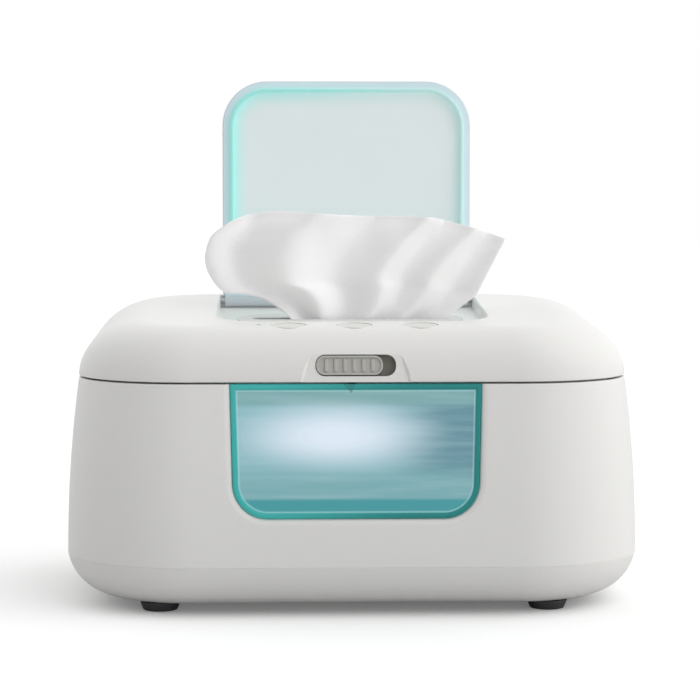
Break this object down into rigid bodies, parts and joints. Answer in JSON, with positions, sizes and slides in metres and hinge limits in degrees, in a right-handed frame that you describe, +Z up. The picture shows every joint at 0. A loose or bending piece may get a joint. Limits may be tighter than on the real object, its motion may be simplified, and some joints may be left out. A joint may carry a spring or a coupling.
{
  "type": "baby wipe warmer",
  "caption": "Countertop baby wipe warmer: lidded heated tub in a rounded casing with a lit front window, slide latch, press buttons and a flip-up flap over the dispensing slot.",
  "frame": {"origin": "on the floor under the middle of the casing's plan", "axes": "+X right and +Y back as seen from the window side, +Z up"},
  "size_m": [0.25, 0.178, 0.2312],
  "materials": {
    "white_plastic": "satin moulded ABS",
    "teal_clear": "clear tinted polycarbonate, polished edge",
    "foot_rubber": "matt moulded rubber",
    "screw_steel": "zinc plated",
    "pin_steel": "ground steel",
    "tub_plastic": "satin polypropylene",
    "heater_aluminium": "rolled sheet",
    "film_amber": "polyimide film",
    "foam_grey": "closed-cell foam",
    "cutout_black": "phenolic",
    "board_green": "solder mask",
    "board_white": "white solder mask",
    "component_black": "moulded epoxy",
    "inlet_black": "moulded nylon",
    "contact_brass": "plated",
    "lamp_chip": "moulded lamp package, lit",
    "light_diffuser": "milky diffuser",
    "liner_plastic": "satin polypropylene",
    "seal_silicone": "silicone",
    "grommet_silicone": "silicone",
    "lens_teal": "clear tinted light pipe",
    "dome_silicone": "silicone",
    "wipe_fabric": "nonwoven wipe, damp",
    "flap_frosted": "frosted polycarbonate",
    "seal_cyan": "translucent silicone",
    "latch_grey": "satin moulded ABS",
    "latch_dark": "moulded acetal",
    "button_grey": "satin moulded ABS"
  },
  "bodies": {
    "base": {"housing": "white_plastic", "window_panel": "teal_clear", "base_pan": "white_plastic", "feet": "foot_rubber", "base_screws": "screw_steel", "lid_hinge_pins": "pin_steel", "inner_tub": "tub_plastic", "heater_plate": "heater_aluminium", "heating_film": "film_amber", "insulation_pad": "foam_grey", "thermal_cutout": "cutout_black", "control_board": "board_green", "board_components": "component_black", "power_inlet": "inlet_black", "inlet_pin": "contact_brass", "light_board": "board_white", "light_chips": "lamp_chip", "light_cover": "light_diffuser"},
    "lid": {"lid_shell": "white_plastic", "lid_liner": "liner_plastic", "lid_gasket": "seal_silicone", "lid_screws": "screw_steel", "slot_grommet": "grommet_silicone", "flap_pin": "pin_steel", "keypad_board": "board_green", "lamp_lens": "lens_teal", "latch_guide": "liner_plastic", "dome_power": "dome_silicone", "dome_light": "dome_silicone", "dome_heat": "dome_silicone", "wipe": "wipe_fabric"},
    "flap": {"flap_panel": "flap_frosted", "flap_seal": "seal_cyan"},
    "latch": {"latch_slider": "latch_grey", "latch_hook": "latch_dark"},
    "button_power": {"button_power": "button_grey"},
    "button_light": {"button_light": "button_grey"},
    "button_heat": {"button_heat": "button_grey"}
  },
  "joints": [
    {"name": "lid_hinge", "type": "hinge", "parent": "base", "child": "lid", "pos_m": [0, 0.085, 0.0994], "axis": [-1, 0, 0], "range_deg": [0, 100]},
    {"name": "flap_hinge", "type": "hinge", "parent": "lid", "child": "flap", "pos_m": [0, 0.05306, 0.12783], "axis": [1, 0, 0], "range_deg": [0, 93.7], "deforming": ["wipe"]},
    {"name": "latch_slide", "type": "slide", "parent": "lid", "child": "latch", "axis": [1, 0, 0], "range_m": [0, 0.0053]},
    {"name": "button_power_press", "type": "slide", "parent": "lid", "child": "button_power", "axis": [0, 0.0645, -0.9979], "range_m": [0, 0.001], "stiffness_N_per_m": 1500, "deforming": ["dome_power"]},
    {"name": "button_light_press", "type": "slide", "parent": "lid", "child": "button_light", "axis": [0, 0.0645, -0.9979], "range_m": [0, 0.001], "stiffness_N_per_m": 1500, "deforming": ["dome_light"]},
    {"name": "button_heat_press", "type": "slide", "parent": "lid", "child": "button_heat", "axis": [0, 0.0645, -0.9979], "range_m": [0, 0.001], "stiffness_N_per_m": 1500, "deforming": ["dome_heat"]}
  ]
}
